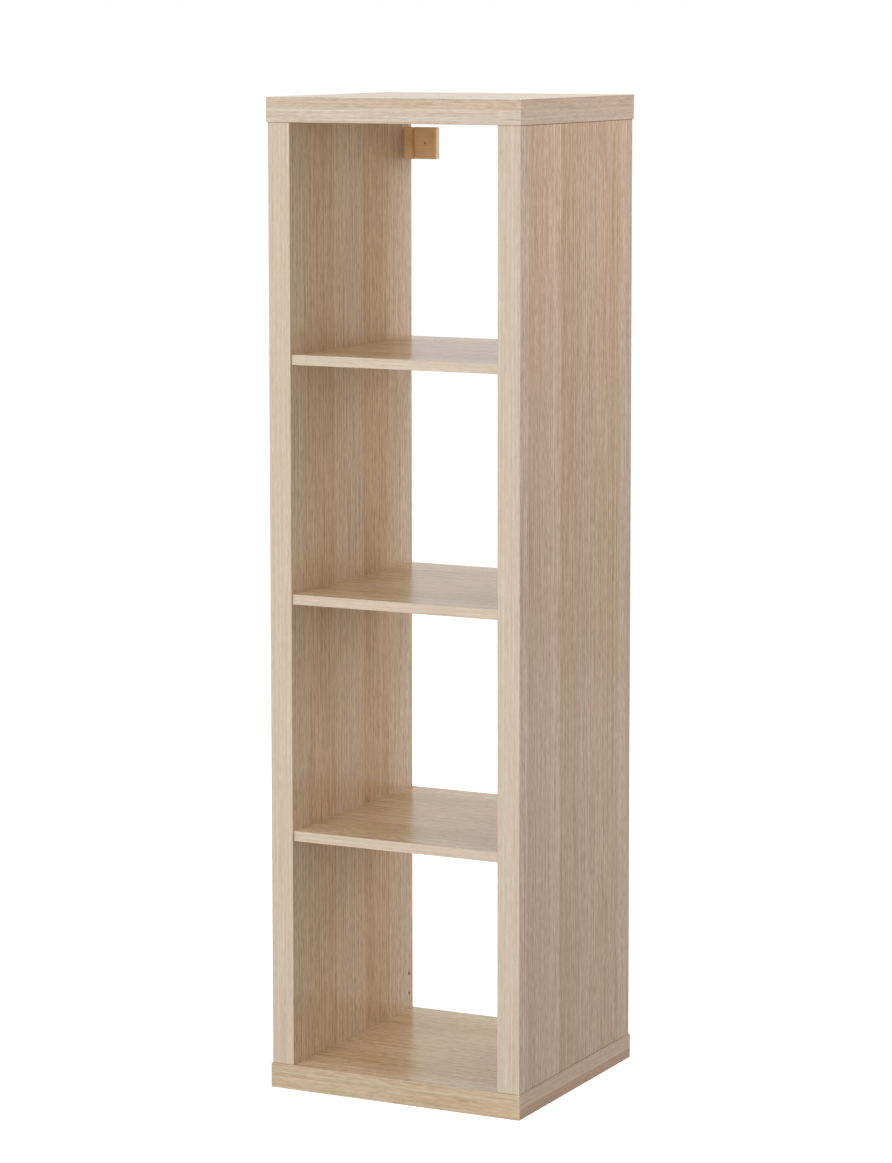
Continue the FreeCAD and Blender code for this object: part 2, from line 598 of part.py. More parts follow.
shelf_dowel_start = (f"(-{INNER_FACE} - shelf_dowel_depth)", FRONT_STILE_LINE,
                     f"({shelf_base(1)} + shelf_thickness / 2)")
shelf_steps = [("x", PAIR_COUNT, f"({SHELF_WIDTH} + 2 * shelf_dowel_depth - dowel_length)"),
               ("y", PAIR_COUNT, f"({REAR_STILE_LINE} - {FRONT_STILE_LINE})"),
               ("z", SHELF_COUNT, f"({COMPARTMENT} + shelf_thickness)")]
fluted_dowels("shelf_dowels", "x", shelf_dowel_start, "dowel_diameter", "dowel_length", shelf_steps)

wall_bracket("left_wall_bracket", LEFT)
wall_bracket("right_wall_bracket", RIGHT)
pin_start = (f"(-{INNER_FACE} - pin_panel_depth)", PIN_LINE, f"({PANEL_TOP} - {PIN_LOW_DROP})")
pin_steps = [("x", PAIR_COUNT, f"({SHELF_WIDTH} + 2 * pin_panel_depth - pin_length)"),
             ("z", PAIR_COUNT, "pin_spacing")]
fluted_dowels("bracket_pins", "x", pin_start, "pin_diameter", "pin_length", pin_steps)

doc.recompute()
for item in doc.Objects:
    if "Invalid" in item.State or "Error" in item.State:
        raise RuntimeError(f"{item.Name} failed: {item.State}")
    if item.TypeId == "PartDesign::Pocket" and item.Shape.Volume >= item.BaseFeature.Shape.Volume:
        raise RuntimeError(f"{item.Name} cuts nothing")

pieces = [item for item in doc.Objects
          if item.TypeId == "PartDesign::Body" or item.Label.endswith("_core")]
for piece in pieces:
    if piece.Shape.isNull() or not piece.Shape.isValid():
        raise RuntimeError(f"{piece.Label} has no valid shape")

os.makedirs("parts", exist_ok=True)
for piece in pieces:
    piece.Shape.exportStep(f"parts/{piece.Label}.step")
    print(f"{piece.Label}: {len(piece.Shape.Solids)} solids, {piece.Shape.Volume / 1000:.1f} cm3")
print(f"{len(pieces)} nodes")
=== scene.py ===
"""The looks of a tall open shelving unit: foiled hollow-core boards, shelves and wall brackets."""

import logging
import math
from abc import ABC, abstractmethod
from collections.abc import Iterable
from dataclasses import dataclass
from enum import Enum

import bmesh
import bpy
from mathutils import Matrix, Vector


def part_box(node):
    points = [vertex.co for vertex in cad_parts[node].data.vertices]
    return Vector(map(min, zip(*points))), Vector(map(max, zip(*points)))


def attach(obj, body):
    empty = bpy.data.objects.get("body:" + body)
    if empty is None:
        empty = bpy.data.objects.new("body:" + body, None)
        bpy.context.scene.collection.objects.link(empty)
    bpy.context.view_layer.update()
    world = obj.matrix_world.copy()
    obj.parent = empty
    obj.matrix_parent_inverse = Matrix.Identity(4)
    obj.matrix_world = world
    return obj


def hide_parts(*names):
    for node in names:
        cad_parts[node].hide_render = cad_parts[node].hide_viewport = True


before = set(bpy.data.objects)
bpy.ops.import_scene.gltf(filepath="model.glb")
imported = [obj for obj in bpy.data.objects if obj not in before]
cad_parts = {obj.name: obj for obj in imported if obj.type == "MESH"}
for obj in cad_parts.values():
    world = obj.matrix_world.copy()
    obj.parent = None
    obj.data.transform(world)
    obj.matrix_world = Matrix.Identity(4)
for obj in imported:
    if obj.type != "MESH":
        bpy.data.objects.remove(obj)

LOG = logging.getLogger("shelving_unit")
BODY = "root"
MM = 0.001

WIDTH, DEPTH, HEIGHT = 410 * MM, 390 * MM, 1470 * MM
SLAB = 36.5 * MM

Rgb = tuple[float, float, float]
Place = tuple[float, float, float]
Socket = bpy.types.NodeSocket
Value = Socket | float


def from_screen(red: int, green: int, blue: int) -> Rgb:
    """Turn a colour as it looks on a screen into the linear colour that a shader takes.

    Args:
        red: The red share, from 0 to 255.
        green: The green share, from 0 to 255.
        blue: The blue share, from 0 to 255.

    Returns:
        The linear colour, by the standard curve of a screen.
    """
    shares = (number / 255 for number in (red, green, blue))
    return tuple(share / 12.92 if share <= 0.04045 else ((share + 0.055) / 1.055) ** 2.4
                 for share in shares)


class Grain(Enum):
    """How a board's grain lies, as the axes along it, across it and through the board."""

    UPRIGHT_ON_PANEL = ("Z", "Y", "X")
    UPRIGHT_ON_EDGE = ("Z", "X", "Y")
    SIDEWAYS_ON_BOARD = ("X", "Y", "Z")
    SIDEWAYS_ON_EDGE = ("X", "Z", "Y")
    DEPTHWAYS_ON_EDGE = ("Y", "Z", "X")


class Side(Enum):
    """The two sides of the unit, seen from the open front."""

    LEFT = "left"
    RIGHT = "right"


class Wiring:
    """Adds and joins the nodes of a material or of a geometry tree."""

    # Of all the inputs and outputs of a Mix node, these are the ones for colours.
    MIX_COLOURS = (6, 7)
    MIX_RESULT = 2

    def __init__(self, tree: bpy.types.NodeTree) -> None:
        """Start with an empty tree.

        Args:
            tree: The node tree.
        """
        self.tree = tree
        tree.nodes.clear()

    def add(self, kind: str, given: dict[int | str, Value | tuple] | None = None,
            **settings: object) -> bpy.types.Node:
        """Add a node and feed its inputs.

        Args:
            kind: The node's type.
            given: What the inputs get, by their names or places.
            settings: Properties of the node and their values.

        Returns:
            The new node.
        """
        node = self.tree.nodes.new(kind)
        for name, setting in settings.items():
            setattr(node, name, setting)
        for key, value in (given or {}).items():
            self.feed(node.inputs[key], value)
        return node

    def feed(self, socket: Socket, value: Value | tuple) -> None:
        """Join a socket to an input, or set the input to a constant.

        Args:
            socket: The input.
            value: The socket to join it to, or its constant.
        """
        if isinstance(value, bpy.types.NodeSocket):
            self.tree.links.new(value, socket)
        else:
            socket.default_value = value

    def math(self, operation: str, *values: Value, clamp: bool = False) -> Socket:
        """Work out a number.

        Args:
            operation: The name of the calculation.
            values: Up to three inputs.
            clamp: Whether the result stays between 0 and 1.

        Returns:
            The result's socket.
        """
        given = dict(enumerate(values))
        node = self.add("ShaderNodeMath", given, operation=operation, use_clamp=clamp)
        return node.outputs[0]

    def position(self) -> dict[str, Socket]:
        """Find the place on the piece.

        Returns:
            The place in metres, as one socket for each axis.
        """
        coordinates = self.add("ShaderNodeTexCoord")
        split = self.add("ShaderNodeSeparateXYZ", {0: coordinates.outputs["Object"]})
        return {axis: split.outputs[axis] for axis in "XYZ"}

    def vector(self, *numbers: Value) -> Socket:
        """Join three numbers into a vector.

        Args:
            numbers: The three numbers.

        Returns:
            The vector's socket.
        """
        return self.add("ShaderNodeCombineXYZ", dict(enumerate(numbers))).outputs[0]

    def scaled(self, place: Iterable[Socket], factors: Iterable[float]) -> Socket:
        """Scale a place, each axis by its own factor.

        Args:
            place: One socket for each axis.
            factors: One factor for each axis, such as a number of marks per metre.

        Returns:
            The scaled place as a vector's socket.
        """
        return self.vector(*(self.math("MULTIPLY", *pair) for pair in zip(place, factors)))

    def noise(self, place: Socket, detail: float, roughness: float = 0.5) -> Socket:
        """Make soft noise.

        Args:
            place: A vector, already scaled.
            detail: How many finer layers the noise has.
            roughness: How strong the finer layers are.

        Returns:
            A number around 0.5.
        """
        given = {"Vector": place, "Scale": 1.0, "Detail": detail, "Roughness": roughness}
        return self.add("ShaderNodeTexNoise", given).outputs["Fac"]

    def blend(self, share: Value, first: Socket | Rgb, second: Socket | Rgb,
              way: str = "MIX") -> Socket:
        """Blend two colours.

        Args:
            share: How much of the second colour shows, from 0 to 1.
            first: The colour at share 0.
            second: The colour at share 1.
            way: The blend mode.

        Returns:
            The blended colour's socket.
        """
        given = {0: share}
        for index, colour in zip(self.MIX_COLOURS, (first, second)):
            given[index] = (*colour, 1.0) if isinstance(colour, tuple) else colour
        node = self.add("ShaderNodeMix", given, data_type="RGBA", blend_type=way)
        return node.outputs[self.MIX_RESULT]

    def ramp(self, share: Socket, stops: list[tuple[float, tuple]]) -> bpy.types.Node:
        """Look a colour up along a line of stops that run into each other.

        Args:
            share: The place on the line, from 0 to 1.
            stops: Each stop's place and its colour with alpha.

        Returns:
            The node, with outputs Color and Alpha.
        """
        node = self.add("ShaderNodeValToRGB", {0: share})
        line = node.color_ramp.elements
        while len(line) > 1:
            line.remove(line[-1])
        line[0].position, line[0].color = stops[0]
        for place, colour in stops[1:]:
            line.new(place).color = colour
        return node

    def bump(self, height: Socket, strength: float, depth: float) -> Socket:
        """Turn a height into a bent normal.

        Args:
            height: The height, from 0 to 1.
            strength: How strong the effect is, from 0 to 1.
            depth: The depth in metres of a height of 1.

        Returns:
            The normal's socket.
        """
        given = {"Strength": strength, "Distance": depth, "Height": height}
        return self.add("ShaderNodeBump", given).outputs[0]

    def surface(self, colour: Socket, roughness: Value, normal: Socket, metal: float = 0.0,
                mirror: float = 0.5) -> None:
        """Finish the material.

        Args:
            colour: The surface's colour.
            roughness: How dull the surface is.
            normal: A bent normal.
            metal: 1 for bare metal, else 0.
            mirror: How strongly it mirrors, with 0.5 for plain varnish.
        """
        shader = self.add("ShaderNodeBsdfPrincipled", {
            "Base Color": colour, "Roughness": roughness, "Normal": normal, "Metallic": metal,
            "Specular IOR Level": mirror})
        self.add("ShaderNodeOutputMaterial", {"Surface": shader.outputs[0]})


@dataclass(frozen=True)
class Finish(ABC):
    """A surface finish. Its material is made once and shared."""

    name: str

    def material(self) -> bpy.types.Material:
        """Build the finish's material on first use, and find it again after that.

        Returns:
            The material.
        """
        found = bpy.data.materials.get(self.name)
        if found is None:
            found = bpy.data.materials.new(self.name)
            found.use_nodes = True
            self.wire(Wiring(found.node_tree))
        return found

    @abstractmethod
    def wire(self, nodes: Wiring) -> None:
        """Build the material's nodes.

        Args:
            nodes: The material's wiring, still empty.
        """

    def dress(self, *pieces: bpy.types.Object) -> None:
        """Give pieces this finish in place of any they have.

        Args:
            pieces: The pieces.
        """
        for piece in pieces:
            piece.data.materials.clear()
            piece.data.materials.append(self.material())


@dataclass(frozen=True)
class RawChipboard(Finish):
    """Raw pressed chips, as on the rails, uprights and blocks inside the boards."""

    CHIPS_PER_METRE = 500.0
    MOTTLE, CHIP_TONES = 0.6, 0.5
    DARK, PALE = from_screen(132, 96, 62), from_screen(206, 172, 128)
    DULLNESS = 0.85

    @classmethod
    def chips(cls, nodes: Wiring, place: dict[str, Socket]) -> Socket:
        """Work out the colour of pressed wood chips.

        Args:
            nodes: The material's wiring.
            place: The place on the piece, one socket for each axis.

        Returns:
            The colour's socket.
        """
        vector = nodes.scaled(place.values(), (cls.CHIPS_PER_METRE,) * 3)
        cells = nodes.add("ShaderNodeTexVoronoi", {"Vector": vector, "Scale": 1.0})
        grey = nodes.add("ShaderNodeRGBToBW", {0: cells.outputs["Color"]})
        share = nodes.math("MULTIPLY_ADD", nodes.noise(vector, detail=2.0), cls.MOTTLE,
                           nodes.math("MULTIPLY", grey.outputs[0], cls.CHIP_TONES))
        return nodes.blend(share, cls.DARK, cls.PALE)

    def wire(self, nodes: Wiring) -> None:
        """Build chips of mixed tones with a rough surface.

        Args:
            nodes: The material's wiring, still empty.
        """
        colour = self.chips(nodes, nodes.position())
        grey = nodes.add("ShaderNodeRGBToBW", {0: colour})
        relief = nodes.bump(grey.outputs[0], strength=0.5, depth=0.2 * MM)
        nodes.surface(colour, self.DULLNESS, relief)


@dataclass(frozen=True)
class CorePaper(Finish):
    """Brown paper of the honeycomb core."""

    FIBRES_PER_METRE = 900.0
    DARK, PALE = from_screen(140, 104, 70), from_screen(198, 164, 124)
    DULLNESS = 0.9

    def wire(self, nodes: Wiring) -> None:
        """Build mottled fibres on brown paper.

        Args:
            nodes: The material's wiring, still empty.
        """
        vector = nodes.scaled(nodes.position().values(), (self.FIBRES_PER_METRE,) * 3)
        fibres = nodes.noise(vector, detail=3.0, roughness=0.6)
        colour = nodes.blend(fibres, self.DARK, self.PALE)
        nodes.surface(colour, self.DULLNESS, nodes.bump(fibres, strength=0.3, depth=0.05 * MM))


@dataclass(frozen=True)
class TurnedBeech(Finish):
    """Raw beech, as on the dowels and the bracket pins.

    Attributes:
        grain: How the grain lies on the dowel.
    """

    grain: Grain

    # Marks per metre along the grain, across it and through the wood.
    GRAIN_SCALES = (60.0, 900.0, 900.0)
    RAY_SCALES = (500.0, 2500.0, 2500.0)
    RAY_LIMIT, RAY_STRENGTH = 0.68, -0.4
    DARK, PALE = from_screen(176, 128, 88), from_screen(226, 188, 146)
    DULLNESS = 0.6

    def wire(self, nodes: Wiring) -> None:
        """Build the grain and the short dark rays of beech.

        Args:
            nodes: The material's wiring, still empty.
        """
        place = nodes.position()
        turned = [place[axis] for axis in self.grain.value]
        grain = nodes.noise(nodes.scaled(turned, self.GRAIN_SCALES), detail=2.0)
        flecks = nodes.noise(nodes.scaled(turned, self.RAY_SCALES), detail=0.0)
        rays = nodes.math("GREATER_THAN", flecks, self.RAY_LIMIT)
        tone = nodes.math("MULTIPLY_ADD", rays, self.RAY_STRENGTH, grain, clamp=True)
        colour = nodes.blend(tone, self.DARK, self.PALE)
        nodes.surface(colour, self.DULLNESS, nodes.bump(grain, strength=0.3, depth=0.05 * MM))


@dataclass(frozen=True)
class BracketWood(Finish):
    """Honey-brown lacquered wood of the wall brackets, with its grain along the wall leg."""

    # Marks per metre along X, Y and Z.
    LINE_SCALES = (14.0, 500.0, 420.0)
    CLOUD_SCALES = (45.0, 45.0, 45.0)
    LINE_STRENGTH = 1.2
    DARK, PALE = from_screen(214, 177, 128), from_screen(236, 202, 154)
    DULLNESS = 0.42

    def wire(self, nodes: Wiring) -> None:
        """Build even brown wood with fine level lines.

        Args:
            nodes: The material's wiring, still empty.
        """
        place = nodes.position()
        lines = nodes.noise(nodes.scaled(place.values(), self.LINE_SCALES), detail=3.0)
        cloud = nodes.noise(nodes.scaled(place.values(), self.CLOUD_SCALES), detail=1.0)
        tone = nodes.math("MULTIPLY_ADD", nodes.math("SUBTRACT", lines, 0.5), self.LINE_STRENGTH,
                          cloud, clamp=True)
        colour = nodes.blend(tone, self.DARK, self.PALE)
        nodes.surface(colour, self.DULLNESS, nodes.bump(lines, strength=0.2, depth=0.05 * MM))


@dataclass(frozen=True)
class ZincPlate(Finish):
    """Zinc-plated steel of the corner screws."""

    # Marks per metre along X, Y and Z.
    MARK_SCALES = (900.0, 900.0, 2500.0)
    DARK, PALE = from_screen(176, 176, 172), from_screen(216, 215, 208)
    LEAST_DULLNESS, DULLNESS_RANGE = 0.25, 0.2

    def wire(self, nodes: Wiring) -> None:
        """Build grey metal with a faint mottle and fine turning marks.

        Args:
            nodes: The material's wiring, still empty.
        """
        marks = nodes.noise(nodes.scaled(nodes.position().values(), self.MARK_SCALES), detail=2.0)
        colour = nodes.blend(marks, self.DARK, self.PALE)
        dullness = nodes.math("MULTIPLY_ADD", marks, self.DULLNESS_RANGE, self.LEAST_DULLNESS)
        relief = nodes.bump(marks, strength=0.15, depth=0.02 * MM)
        nodes.surface(colour, dullness, relief, metal=1.0)


@dataclass(frozen=True)
class Stave:
    """One printed stave of the foil, from its start to the next one's.

    Attributes:
        start: Where it starts, as a share of the board's width.
        figure: How strong its arched figure is, from 0 to 1.
        tint: The colour that it is multiplied with at its start.
        far_tint: The colour that it is multiplied with at its end, or None for the same.
    """

    start: float
    figure: float
    tint: Rgb
    far_tint: Rgb | None = None


@dataclass(frozen=True)
class Marks:
    """One kind of printed mark, drawn out along the grain.

    Attributes:
        length: How long a mark is, in millimetres.
        spacing: How far apart the marks lie, in millimetres.
        shift: A number that keeps these marks apart from the other kinds.
        strength: How much they change what they are added to.
        detail: How many finer layers they have.
    """

    length: float
    spacing: float
    shift: float
    strength: float = 1.0
    detail: float = 1.0

    def noise(self, nodes: Wiring, print_at: tuple[Socket, Socket, Socket]) -> Socket:
        """Build the noise that the marks are made of.

        Args:
            nodes: The material's wiring.
            print_at: The place along and across the grain, and the slice of the noise.

        Returns:
            A number around 0.5.
        """
        along, across, slice_at = print_at
        vector = nodes.vector(nodes.math("MULTIPLY", along, 1 / (self.length * MM)),
                              nodes.math("MULTIPLY", across, 1 / (self.spacing * MM)),
                              nodes.math("ADD", slice_at, self.shift))
        return nodes.noise(vector, self.detail)


@dataclass(frozen=True)
class Foil(Finish):
    """Pale oak-look foil, printed in staves, on a raw core.

    Attributes:
        grain: How the grain lies on the board.
        pale: The colour between the grain lines.
        dark: The colour of the grain lines.
        across: The board's low and high edge across the grain, in metres.
        staves: The printed staves, in order.
        faces: Where the foiled faces lie through the board, or none if foil is all round.
        lines: How strong the fine straight lines are.
        arches: How strong the arched figure is.
        rings: How closely the lines of the arched figure follow each other.
        gloss: The roughness of the foil.
        shine: How strongly it mirrors, with 0.5 for plain varnish.
        seed: A number that gives the board a figure of its own.
        ends: The board's low and high end along the grain, where a thin dark brown line of painted
            shade marks the gap at a slab joint, with the foil's dark cut edge, or none if no such
            line shows there.
    """

    grain: Grain
    pale: Rgb
    dark: Rgb
    across: tuple[float, float]
    staves: tuple[Stave, ...]
    faces: tuple[float, ...] = ()
    lines: float = 0.5
    arches: float = 0.25
    rings: float = 9.0
    gloss: float = 0.2
    shine: float = 0.06
    seed: float = 0.0
    ends: tuple[float, ...] = ()

    LINES = Marks(150.0, 1.7, 0.0, 3.7)
    STREAKS = Marks(60.0, 4.0, 41.0, 0.7)
    SPECKS = Marks(14.0, 2.4, 3.0, 3.2)
    CLOUDS = Marks(700.0, 22.0, 5.0, 0.07)
    PORES = Marks(7.0, 0.55, 17.0, -0.12, detail=0.0)
    WANDER = Marks(420.0, 9.0, 53.0, 1.7)
    WARMTH = Marks(380.0, 3.6, 29.0, 3.5)
    HILLS = Marks(460.0, 46.0, 11.0, detail=0.0)

    STRIPE_SPACING = 7.0 * MM
    STRIPE_STRENGTH = 0.34
    PORE_LIMIT = 0.66
    RING_RIPPLE, RING_FADE = 0.25, 4.0
    MIDDLE_TONE = 0.6
    COOL, WARM = (0.98, 1.015, 0.995), (1.02, 0.98, 0.975)
    STAVE_JOINT = 0.002
    SLICES_PER_METRE, SLICES_PER_FIGURE = 23.0, 37.0
    # Painted shade: a thin dark brown line at each end, for the shadow in the gap where a board
    # meets a slab, with the foil's dark cut edge.
    JOINT_BROWN, JOINT_STRENGTH, JOINT_LINE = from_screen(84, 58, 38), 0.35, 1.2 * MM
    FOIL_THICKNESS = 0.2 * MM
    DULLNESS_RANGE = 0.10
    PORE_RELIEF, LINE_RELIEF = -0.6, 0.4

    def stops(self) -> list[tuple[float, tuple]]:
        """List the staves as colour stops with their figure as alpha.

        Returns:
            Two stops for each stave, at its start and just before the next one.
        """
        stops = []
        ends = [stave.start - self.STAVE_JOINT for stave in self.staves[1:]] + [1.0]
        for stave, end in zip(self.staves, ends):
            stops.append((stave.start, (*stave.tint, stave.figure)))
            stops.append((end, (*(stave.far_tint or stave.tint), stave.figure)))
        return stops

    def wire(self, nodes: Wiring) -> None:
        """Build the printed wood, the pressed pores and the raw core under the foil.

        Args:
            nodes: The material's wiring, still empty.
        """
        place = nodes.position()
        along, across, through = (place[axis] for axis in self.grain.value)
        low, high = self.across
        share = nodes.math("DIVIDE", nodes.math("SUBTRACT", across, low), high - low, clamp=True)
        stave = nodes.ramp(share, self.stops())
        figure = stave.outputs["Alpha"]
        depth_slice = nodes.math("MULTIPLY_ADD", through, self.SLICES_PER_METRE, self.seed)
        slice_at = nodes.math("MULTIPLY_ADD", figure, self.SLICES_PER_FIGURE, depth_slice)

        def printed(marks: Marks) -> Socket:
            """The noise of one kind of mark, around 0.5."""
            return marks.noise(nodes, (along, across, slice_at))

        def around_zero(noise: Socket) -> Socket:
            """Noise as a number around 0."""
            return nodes.math("SUBTRACT", noise, 0.5)

        lines = printed(self.LINES)
        pores = nodes.math("GREATER_THAN", printed(self.PORES), self.PORE_LIMIT)
        count = nodes.math("MULTIPLY_ADD", printed(self.WANDER), self.WANDER.strength,
                           nodes.math("DIVIDE", across, self.STRIPE_SPACING))
        stripes = nodes.math("SINE", nodes.math("MULTIPLY", count, 2 * math.pi))
        height = nodes.math("MULTIPLY_ADD", around_zero(lines), self.RING_RIPPLE,
                            nodes.math("MULTIPLY", printed(self.HILLS), self.rings))
        rise = nodes.math("SUBTRACT", 1.0, nodes.math("FRACT", height))
        ring = nodes.math("MULTIPLY", nodes.math("POWER", rise, self.RING_FADE), figure)

        tone = self.MIDDLE_TONE
        for layer, strength in (
                (around_zero(lines), self.LINES.strength * self.lines),
                (stripes, self.STRIPE_STRENGTH * self.lines),
                (around_zero(printed(self.STREAKS)), self.STREAKS.strength * self.lines),
                (around_zero(printed(self.SPECKS)), self.SPECKS.strength * self.lines),
                (around_zero(printed(self.CLOUDS)), self.CLOUDS.strength),
                (ring, -self.arches)):
            tone = nodes.math("MULTIPLY_ADD", layer, strength, tone)
        tone = nodes.math("MULTIPLY_ADD", pores, self.PORES.strength, tone, clamp=True)
        warmth = nodes.math("MULTIPLY_ADD", around_zero(printed(self.WARMTH)),
                            self.WARMTH.strength, 0.5, clamp=True)
        colour = nodes.blend(tone, self.dark, self.pale)
        colour = nodes.blend(1.0, colour, stave.outputs["Color"], "MULTIPLY")
        colour = nodes.blend(1.0, colour, nodes.blend(warmth, self.COOL, self.WARM), "MULTIPLY")
        # Painted shade at the joints with the slabs: within a thin line of each end the colour
        # turns dark brown, for the shadow in the gap, with the foil's dark cut edge.
        for end in self.ends:
            joint_shade = nodes.math("COMPARE", along, end, self.JOINT_LINE)
            strength = nodes.math("MULTIPLY", joint_shade, self.JOINT_STRENGTH)
            colour = nodes.blend(strength, colour, self.JOINT_BROWN)
        dullness = nodes.math("MULTIPLY_ADD", lines, self.DULLNESS_RANGE,
                              self.gloss - self.DULLNESS_RANGE / 2)
        if self.faces:
            foiled = [nodes.math("COMPARE", through, face, self.FOIL_THICKNESS)
                      for face in self.faces]
            mask = foiled[0]
            for other in foiled[1:]:
                mask = nodes.math("MAXIMUM", mask, other)
            colour = nodes.blend(mask, RawChipboard.chips(nodes, place), colour)
            raw = RawChipboard.DULLNESS
            dullness = nodes.math("MULTIPLY_ADD", mask, nodes.math("SUBTRACT", dullness, raw), raw)
        relief = nodes.math("MULTIPLY_ADD", pores, self.PORE_RELIEF,
                            nodes.math("MULTIPLY", lines, self.LINE_RELIEF))
        bent = nodes.bump(relief, strength=0.12, depth=0.04 * MM)
        nodes.surface(colour, dullness, bent, mirror=self.shine)


@dataclass
class Repeat:
    """Copies of a piece on a grid, each turned a little differently about its own axis.

    Attributes:
        first: Where the first copy's origin stands.
        counts: How many copies stand along X, Y and Z.
        spacings: How far apart they stand along X, Y and Z.
        axis: The axis that each copy is turned about.
        turn: The most that a copy may be turned, in radians.
        seed: The seed of the turns.
    """

    first: Place
    counts: tuple[int, int, int]
    spacings: Place
    axis: Place = (0.0, 0.0, 1.0)
    turn: float = math.pi
    seed: int = 1

    TREE = "repeat_on_a_grid"
    SIZES = (("First", "Vector"), ("Count X", "Int"), ("Count Y", "Int"), ("Count Z", "Int"),
             ("Spacing", "Vector"), ("Axis", "Vector"), ("Turn", "Float"), ("Seed", "Int"),
             ("Finish", "Material"))

    def tree(self) -> bpy.types.NodeTree:
        """Build the geometry tree that all repeats share on first use, and find it after that.

        Returns:
            The tree.
        """
        found = bpy.data.node_groups.get(self.TREE)
        if found is not None:
            return found
        tree = bpy.data.node_groups.new(self.TREE, "GeometryNodeTree")
        tree.interface.new_socket("Geometry", in_out="INPUT", socket_type="NodeSocketGeometry")
        for name, kind in self.SIZES:
            tree.interface.new_socket(name, in_out="INPUT", socket_type=f"NodeSocket{kind}")
        tree.interface.new_socket("Geometry", in_out="OUTPUT", socket_type="NodeSocketGeometry")
        nodes = Wiring(tree)
        given = nodes.add("NodeGroupInput").outputs
        steps = nodes.add("ShaderNodeSeparateXYZ", {0: given["Spacing"]})
        points = None
        for axis in "XYZ":
            offset = nodes.add("ShaderNodeCombineXYZ", {axis: steps.outputs[axis]})
            line = nodes.add("GeometryNodeMeshLine", {
                "Count": given[f"Count {axis}"], "Offset": offset.outputs[0]}, mode="OFFSET")
            if points is None:
                nodes.feed(line.inputs["Start Location"], given["First"])
                points = line.outputs[0]
            else:
                rows = nodes.add("GeometryNodeInstanceOnPoints", {
                    "Points": line.outputs[0], "Instance": points})
                points = nodes.add("GeometryNodeRealizeInstances", {0: rows.outputs[0]}).outputs[0]
        chance = nodes.add("FunctionNodeRandomValue", {"Seed": given["Seed"]}, data_type="FLOAT")
        least, most = [socket for socket in chance.inputs if socket.enabled][:2]
        nodes.feed(least, nodes.math("MULTIPLY", given["Turn"], -1.0))
        nodes.feed(most, given["Turn"])
        angle = next(out for out in chance.outputs if out.enabled)
        spin = nodes.add("FunctionNodeAxisAngleToRotation", {"Axis": given["Axis"], "Angle": angle})
        copies = nodes.add("GeometryNodeInstanceOnPoints", {
            "Points": points, "Instance": given["Geometry"], "Rotation": spin.outputs[0]})
        real = nodes.add("GeometryNodeRealizeInstances", {0: copies.outputs[0]})
        finished = nodes.add("GeometryNodeSetMaterial", {
            "Geometry": real.outputs[0], "Material": given["Finish"]})
        nodes.add("NodeGroupOutput", {0: finished.outputs[0]})
        return tree

    def apply(self, piece: bpy.types.Object, finish: Finish) -> None:
        """Turn a single piece into all its copies, as one plain mesh.

        Args:
            piece: The object whose mesh is repeated.
            finish: The finish of all copies.
        """
        modifier = piece.modifiers.new("copies", "NODES")
        modifier.node_group = self.tree()
        given = (self.first, *self.counts, self.spacings, self.axis, self.turn, self.seed,
                 finish.material())
        named = {item.name: item.identifier for item in modifier.node_group.interface.items_tree
                 if item.in_out == "INPUT"}
        for (name, _), value in zip(self.SIZES, given):
            modifier[named[name]] = value
        ready = piece.evaluated_get(bpy.context.evaluated_depsgraph_get())
        mesh = bpy.data.meshes.new_from_object(ready)
        piece.modifiers.clear()
        piece.data = mesh


def new_piece(name: str, shape: bmesh.types.BMesh, smooth: bool) -> bpy.types.Object:
    """Make an object from a mesh in the making.

    Args:
        name: The object's name.
        shape: The mesh, which is freed.
        smooth: Whether its faces are shaded smooth.

    Returns:
        The object, in the scene.
    """
    mesh = bpy.data.meshes.new(name)
    shape.normal_update()
    shape.to_mesh(mesh)
    shape.free()
    if smooth:
        mesh.shade_smooth()
    piece = bpy.data.objects.new(name, mesh)
    bpy.context.scene.collection.objects.link(piece)
    return piece


def circle(radii: list[float], height: float) -> list[Vector]:
    """Lay points evenly round the Z axis.

    Args:
        radii: Each point's distance from the axis, in order.
        height: The height that they all lie at.

    Returns:
        The points.
    """
    points = []
    for index, radius in enumerate(radii):
        angle = 2 * math.pi * index / len(radii)
        points.append(Vector((radius * math.cos(angle), radius * math.sin(angle), height)))
    return points


def tube_of_rings(rings: list[list[Vector]]) -> bmesh.types.BMesh:
    """Join rings of equally many points into a closed skin.

    Args:
        rings: The rings in order. The first and last are closed with a face each.

    Returns:
        The mesh, with its normals outwards.
    """
    shape = bmesh.new()
    rows = [[shape.verts.new(point) for point in ring] for ring in rings]
    for low, high in zip(rows, rows[1:]):
        for index, corner in enumerate(low):
            after = (index + 1) % len(low)
            shape.faces.new((corner, low[after], high[after], high[index]))
    shape.faces.new(rows[0][::-1])
    shape.faces.new(rows[-1])
    bmesh.ops.recalc_face_normals(shape, faces=shape.faces)
    return shape


def sharpen(piece: bpy.types.Object, angle: float) -> None:
    """Keep smooth shading only over edges that turn less than an angle in degrees."""
    piece.data.set_sharp_from_angle(angle=math.radians(angle))


def dressed(name: str, *finished: tuple[Finish, str]) -> list[bpy.types.Object]:
    """Give the CAD pieces of a sub-assembly their finishes.

    Args:
        name: The start of its pieces' names.
        finished: Each finish with the rest of its pieces' names, set apart by spaces.

    Returns:
        The dressed pieces.
    """
    pieces = []
    for finish, parts in finished:
        alike = [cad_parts[f"{name}_{part}"] for part in parts.split()]
        finish.dress(*alike)
        pieces += alike
    return pieces


class SubAssembly(ABC):
    """A sub-assembly of the unit."""

    @abstractmethod
    def build(self) -> list[bpy.types.Object]:
        """Build and dress its pieces.

        Returns:
            The pieces.
        """


